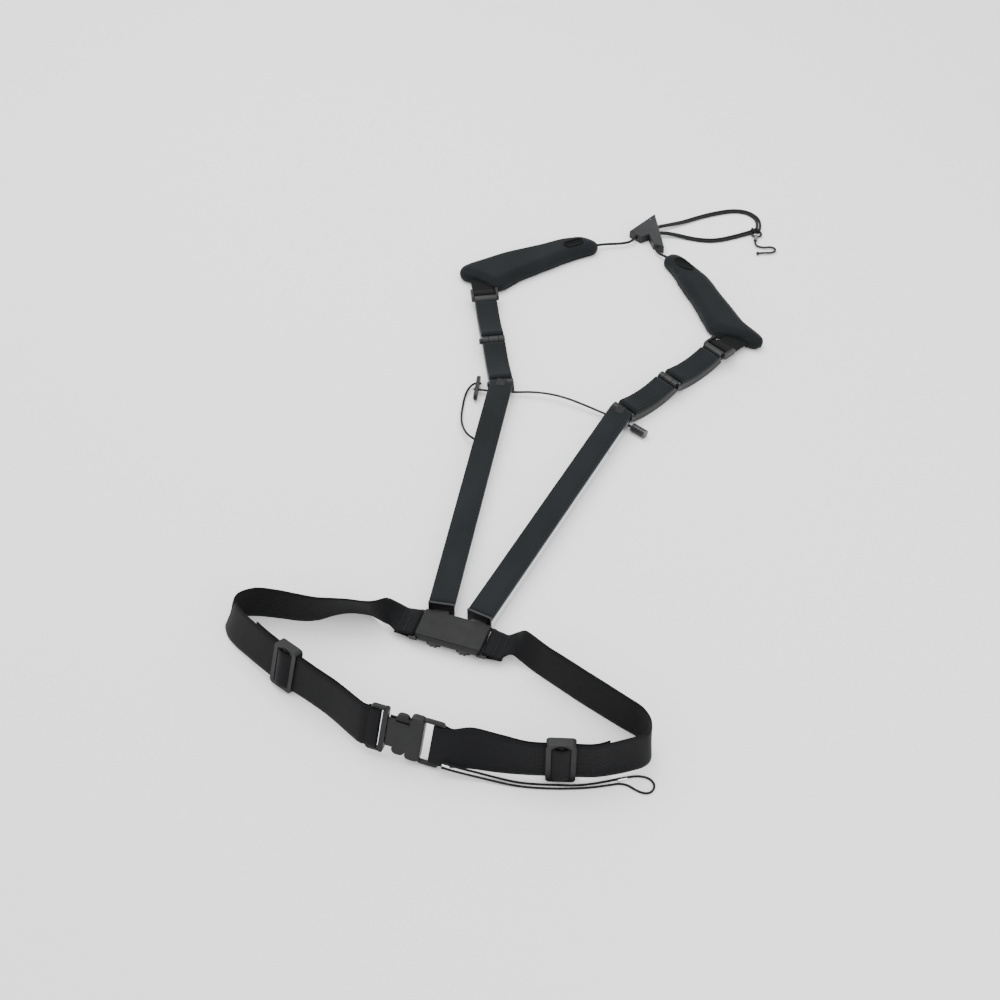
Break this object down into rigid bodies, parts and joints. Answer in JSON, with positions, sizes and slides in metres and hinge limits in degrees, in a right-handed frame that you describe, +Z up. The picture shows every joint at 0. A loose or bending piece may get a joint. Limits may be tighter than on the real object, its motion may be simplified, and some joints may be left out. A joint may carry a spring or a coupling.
{
  "type": "saxophone back harness",
  "caption": "Back harness for a saxophone: waist belt with side-release buckle, lumbar plate, padded slats, jointed shoulder arms, shoulder pads and a cord sling with hook",
  "frame": {"origin": "on the surface the harness lies on, midway between the two pivot knobs of the lumbar plate", "axes": "+Z up; +Y from the belt towards the shoulder pads and the hook; +X to the right seen from above with the belt nearest"},
  "size_m": [0.4119, 0.8558, 0.0478],
  "materials": {
    "moulded_black": "moulded, fine grain",
    "knob_black": "moulded, smooth",
    "channel_metal": "drawn and anodised",
    "steel": "plain",
    "strip_cushion": "foam-backed knit, stitched border",
    "pad_cover": "stretch cover over foam",
    "window_mesh": "coarse mesh",
    "webbing": "ribbed weave",
    "elastic_cord": "covered elastic",
    "braided_cord": "braided sheath",
    "crimp_metal": "bright",
    "hook_metal": "black coated"
  },
  "bodies": {
    "lumbar": {"lumbar_base": "moulded_black", "lumbar_cover": "moulded_black", "threaded_inserts": "steel", "belt_right": "webbing", "belt_left_rear": "webbing", "buckle_female": "moulded_black", "leash": "elastic_cord", "leash_crimps": "crimp_metal", "spreader_cord": "braided_cord", "spreader_tail": "braided_cord", "cleat": "moulded_black", "barrel_stopper": "moulded_black"},
    "knob_left": {"knob_left": "knob_black"},
    "knob_right": {"knob_right": "knob_black"},
    "triglide_right": {"triglide_right": "moulded_black"},
    "belt_left": {"belt_left_front": "webbing", "buckle_male": "moulded_black"},
    "triglide_left": {"triglide_left": "moulded_black"},
    "slat_left": {"slat_channel_left": "channel_metal", "slat_pad_left": "strip_cushion", "slat_end_cap_left": "moulded_black", "slat_tongue_left": "steel", "slat_head_left": "moulded_black", "shoulder_pin_left": "steel"},
    "link_1_left": {"link_1_shell_left": "moulded_black", "link_1_pad_left": "strip_cushion", "arm_pin_left": "steel"},
    "link_2_left": {"link_2_shell_left": "moulded_black", "link_2_pad_left": "strip_cushion"},
    "pad_left": {"strap_loop_left": "moulded_black", "pad_tab_left": "webbing", "shoulder_pad_left": "pad_cover", "pad_window_left": "window_mesh"},
    "slat_right": {"slat_channel_right": "channel_metal", "slat_pad_right": "strip_cushion", "slat_end_cap_right": "moulded_black", "slat_tongue_right": "steel", "slat_head_right": "moulded_black", "shoulder_pin_right": "steel"},
    "link_1_right": {"link_1_shell_right": "moulded_black", "link_1_pad_right": "strip_cushion", "arm_pin_right": "steel"},
    "link_2_right": {"link_2_shell_right": "moulded_black", "link_2_pad_right": "strip_cushion"},
    "pad_right": {"strap_loop_right": "moulded_black", "pad_tab_right": "webbing", "shoulder_pad_right": "pad_cover", "pad_window_right": "window_mesh"},
    "sling": {"lead_left": "braided_cord", "lead_right": "braided_cord"},
    "adjuster": {"adjuster_bottom": "moulded_black", "adjuster_top": "moulded_black", "loop_upper": "braided_cord", "loop_lower": "braided_cord", "sling_ring": "hook_metal", "swivel_barrel": "hook_metal"},
    "hook": {"hook_wire": "hook_metal"}
  },
  "joints": [
    {"name": "knob_left_turn", "type": "hinge", "parent": "lumbar", "child": "knob_left", "pos_m": [-0.014, 0, 0.003], "axis": [0, 0, 1], "continuous": true},
    {"name": "knob_right_turn", "type": "hinge", "parent": "lumbar", "child": "knob_right", "pos_m": [0.014, 0, 0.003], "axis": [0, 0, 1], "continuous": true},
    {"name": "left_spread", "type": "hinge", "parent": "lumbar", "child": "slat_left", "pos_m": [-0.014, 0, 0.0104], "axis": [0, 0, -1], "range_deg": [0, 0.8], "deforming": ["lead_left", "spreader_cord", "spreader_tail"]},
    {"name": "left_shoulder_hinge", "type": "hinge", "parent": "slat_left", "child": "link_1_left", "pos_m": [-0.06494, 0.32908, 0.0135], "axis": [0.8949, 0.4462, 0], "range_deg": [0, 15], "deforming": ["lead_left"]},
    {"name": "left_arm_hinge", "type": "hinge", "parent": "link_1_left", "child": "link_2_left", "pos_m": [-0.09595, 0.39128, 0.0135], "axis": [0.8949, 0.4462, 0], "range_deg": [0, 24]},
    {"name": "left_pad_hinge", "type": "hinge", "parent": "link_2_left", "child": "pad_left", "pos_m": [-0.12697, 0.45348, 0.0135], "axis": [0.8949, 0.4462, 0], "range_deg": [-39, 0]},
    {"name": "right_spread", "type": "hinge", "parent": "lumbar", "child": "slat_right", "pos_m": [0.014, 0, 0.0104], "axis": [0, 0, 1], "range_deg": [0, 0.8], "deforming": ["lead_right"]},
    {"name": "right_shoulder_hinge", "type": "hinge", "parent": "slat_right", "child": "link_1_right", "pos_m": [0.06494, 0.32908, 0.0135], "axis": [0.8788, -0.4772, 0], "range_deg": [0, 15], "deforming": ["lead_right"]},
    {"name": "right_arm_hinge", "type": "hinge", "parent": "link_1_right", "child": "link_2_right", "pos_m": [0.09811, 0.39016, 0.0135], "axis": [0.8788, -0.4772, 0], "range_deg": [0, 24]},
    {"name": "right_pad_hinge", "type": "hinge", "parent": "link_2_right", "child": "pad_right", "pos_m": [0.13127, 0.45124, 0.0135], "axis": [0.8788, -0.4772, 0], "range_deg": [-39, 0]},
    {"name": "sling_lift", "type": "slide", "parent": "lumbar", "child": "sling", "axis": [0, -0.2479, 0.9688], "range_m": [0, 0.064]},
    {"name": "adjuster_slide", "type": "slide", "parent": "sling", "child": "adjuster", "axis": [0, 1, 0], "range_m": [0, 0.012]},
    {"name": "hook_swivel", "type": "hinge", "parent": "adjuster", "child": "hook", "pos_m": [0.129, 0.6715, 0.0024], "axis": [0.1104, -0.9939, 0], "range_deg": [0, 120]},
    {"name": "buckle_release", "type": "slide", "parent": "lumbar", "child": "belt_left", "axis": [-0.9968, -0.039, 0.07], "range_m": [0, 0.035], "deforming": ["belt_left_rear"]},
    {"name": "triglide_left_slide", "type": "slide", "parent": "belt_left", "child": "triglide_left", "axis": [0.9391, -0.3438, 0], "range_m": [-0.006, 0.006]},
    {"name": "triglide_right_slide", "type": "slide", "parent": "lumbar", "child": "triglide_right", "axis": [-0.9573, -0.2891, 0], "range_m": [-0.006, 0.006]}
  ],
  "couplings": [
    {"joint": "right_spread", "follows": "left_spread", "ratio": 1},
    {"joint": "left_arm_hinge", "follows": "left_shoulder_hinge", "ratio": 1.6},
    {"joint": "left_pad_hinge", "follows": "left_shoulder_hinge", "ratio": -2.6},
    {"joint": "right_shoulder_hinge", "follows": "left_shoulder_hinge", "ratio": 1},
    {"joint": "right_arm_hinge", "follows": "left_shoulder_hinge", "ratio": 1.6},
    {"joint": "right_pad_hinge", "follows": "left_shoulder_hinge", "ratio": -2.6},
    {"joint": "sling_lift", "follows": "left_shoulder_hinge", "m_per_rad": 0.2437}
  ]
}
